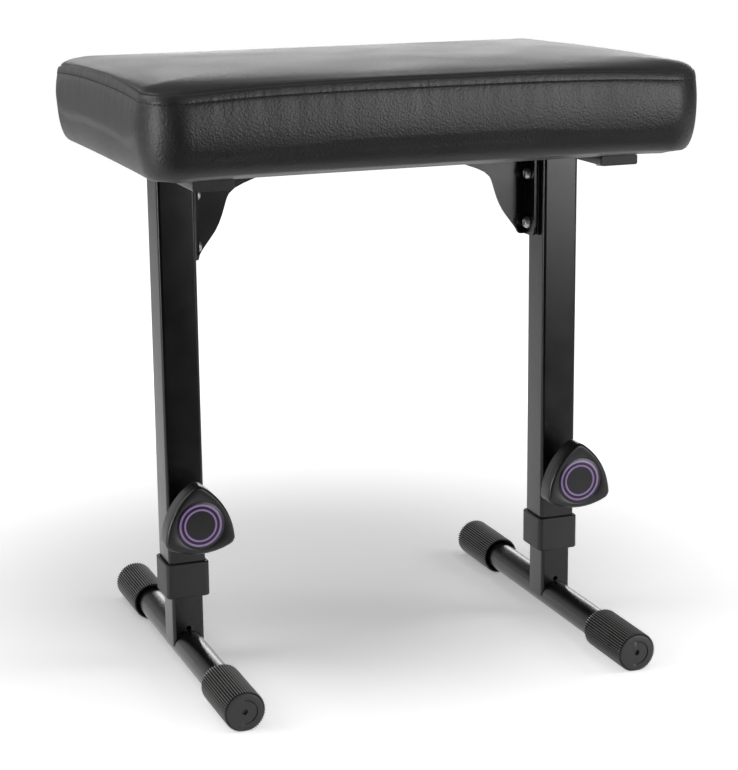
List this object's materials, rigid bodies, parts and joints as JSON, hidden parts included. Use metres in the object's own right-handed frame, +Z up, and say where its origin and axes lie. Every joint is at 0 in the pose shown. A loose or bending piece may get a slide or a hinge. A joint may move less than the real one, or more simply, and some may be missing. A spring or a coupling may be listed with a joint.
{
  "type": "keyboard bench",
  "caption": "Padded keyboard bench with a vinyl seat on two T-shaped legs: square tubes slide to set the height and are clamped by three-sided knobs.",
  "frame": {"origin": "on the floor, midway between the two legs", "axes": "+Z up, +X along the seat's long side, -Y to the front, where the clamp knobs are"},
  "size_m": [0.4626, 0.341, 0.5024],
  "materials": {
    "seat_vinyl": "black leather-grain vinyl, soft sheen",
    "seat_foam": "open-cell upholstery foam",
    "plywood": "raw plywood",
    "dust_cloth": "thin black non-woven cloth",
    "black_paint": "satin black powder coat on steel",
    "black_plastic": "fine matt moulded plastic",
    "knob_plastic": "satin moulded plastic",
    "knob_badge": "satin plastic disc with two printed lilac rings",
    "nylon": "natural nylon",
    "zinc_plate": "zinc-plated steel",
    "black_rubber": "matt ribbed rubber"
  },
  "bodies": {
    "root": {"seat_cover": "seat_vinyl", "seat_foam": "seat_foam", "seat_board": "plywood", "dust_cloth": "dust_cloth", "left_rail": "black_paint", "left_rail_plug_front": "black_plastic", "left_rail_plug_back": "black_plastic", "left_rail_screw_front": "zinc_plate", "left_rail_screw_back": "zinc_plate", "left_tee_nut_front": "zinc_plate", "left_tee_nut_back": "zinc_plate", "left_bracket": "black_paint", "left_backing_plate": "black_paint", "left_leg_bolt_upper": "zinc_plate", "left_leg_bolt_lower": "zinc_plate", "left_leg_nut_upper": "zinc_plate", "left_leg_nut_lower": "zinc_plate", "left_seat_screw_inner": "zinc_plate", "left_seat_screw_outer": "zinc_plate", "left_upper_tube": "black_paint", "left_collar": "black_plastic", "left_clamp_boss": "black_paint", "right_rail": "black_paint", "right_rail_plug_front": "black_plastic", "right_rail_plug_back": "black_plastic", "right_rail_screw_front": "zinc_plate", "right_rail_screw_back": "zinc_plate", "right_tee_nut_front": "zinc_plate", "right_tee_nut_back": "zinc_plate", "right_bracket": "black_paint", "right_backing_plate": "black_paint", "right_leg_bolt_upper": "zinc_plate", "right_leg_bolt_lower": "zinc_plate", "right_leg_nut_upper": "zinc_plate", "right_leg_nut_lower": "zinc_plate", "right_seat_screw_inner": "zinc_plate", "right_seat_screw_outer": "zinc_plate", "right_upper_tube": "black_paint", "right_collar": "black_plastic", "right_clamp_boss": "black_paint"},
    "left_lower_leg": {"left_lower_tube": "black_paint", "left_glide": "nylon", "left_foot_bar": "black_paint", "left_foot_cap_front": "black_rubber", "left_foot_cap_back": "black_rubber"},
    "left_pad": {"left_clamp_pad": "nylon"},
    "left_knob": {"left_clamp_stud": "zinc_plate", "left_knob": "knob_plastic", "left_knob_badge": "knob_badge"},
    "right_lower_leg": {"right_lower_tube": "black_paint", "right_glide": "nylon", "right_foot_bar": "black_paint", "right_foot_cap_front": "black_rubber", "right_foot_cap_back": "black_rubber"},
    "right_pad": {"right_clamp_pad": "nylon"},
    "right_knob": {"right_clamp_stud": "zinc_plate", "right_knob": "knob_plastic", "right_knob_badge": "knob_badge"}
  },
  "joints": [
    {"name": "left_leg_height", "type": "slide", "parent": "root", "child": "left_lower_leg", "axis": [0, 0, -1], "range_m": [0, 0.12]},
    {"name": "left_pad_travel", "type": "slide", "parent": "root", "child": "left_pad", "axis": [0, -1, 0], "range_m": [0, 0.0038]},
    {"name": "left_knob_spin", "type": "hinge", "parent": "left_pad", "child": "left_knob", "pos_m": [-0.17, -0.04, 0.1349], "axis": [0, -1, 0], "range_deg": [0, 1080]},
    {"name": "right_leg_height", "type": "slide", "parent": "root", "child": "right_lower_leg", "axis": [0, 0, -1], "range_m": [0, 0.12]},
    {"name": "right_pad_travel", "type": "slide", "parent": "root", "child": "right_pad", "axis": [0, -1, 0], "range_m": [0, 0.0038]},
    {"name": "right_knob_spin", "type": "hinge", "parent": "right_pad", "child": "right_knob", "pos_m": [0.17, -0.04, 0.1349], "axis": [0, -1, 0], "range_deg": [0, 1080]}
  ],
  "couplings": [
    {"joint": "left_pad_travel", "follows": "left_knob_spin", "m_per_rad": 0.00019894},
    {"joint": "right_pad_travel", "follows": "right_knob_spin", "m_per_rad": 0.00019894}
  ]
}
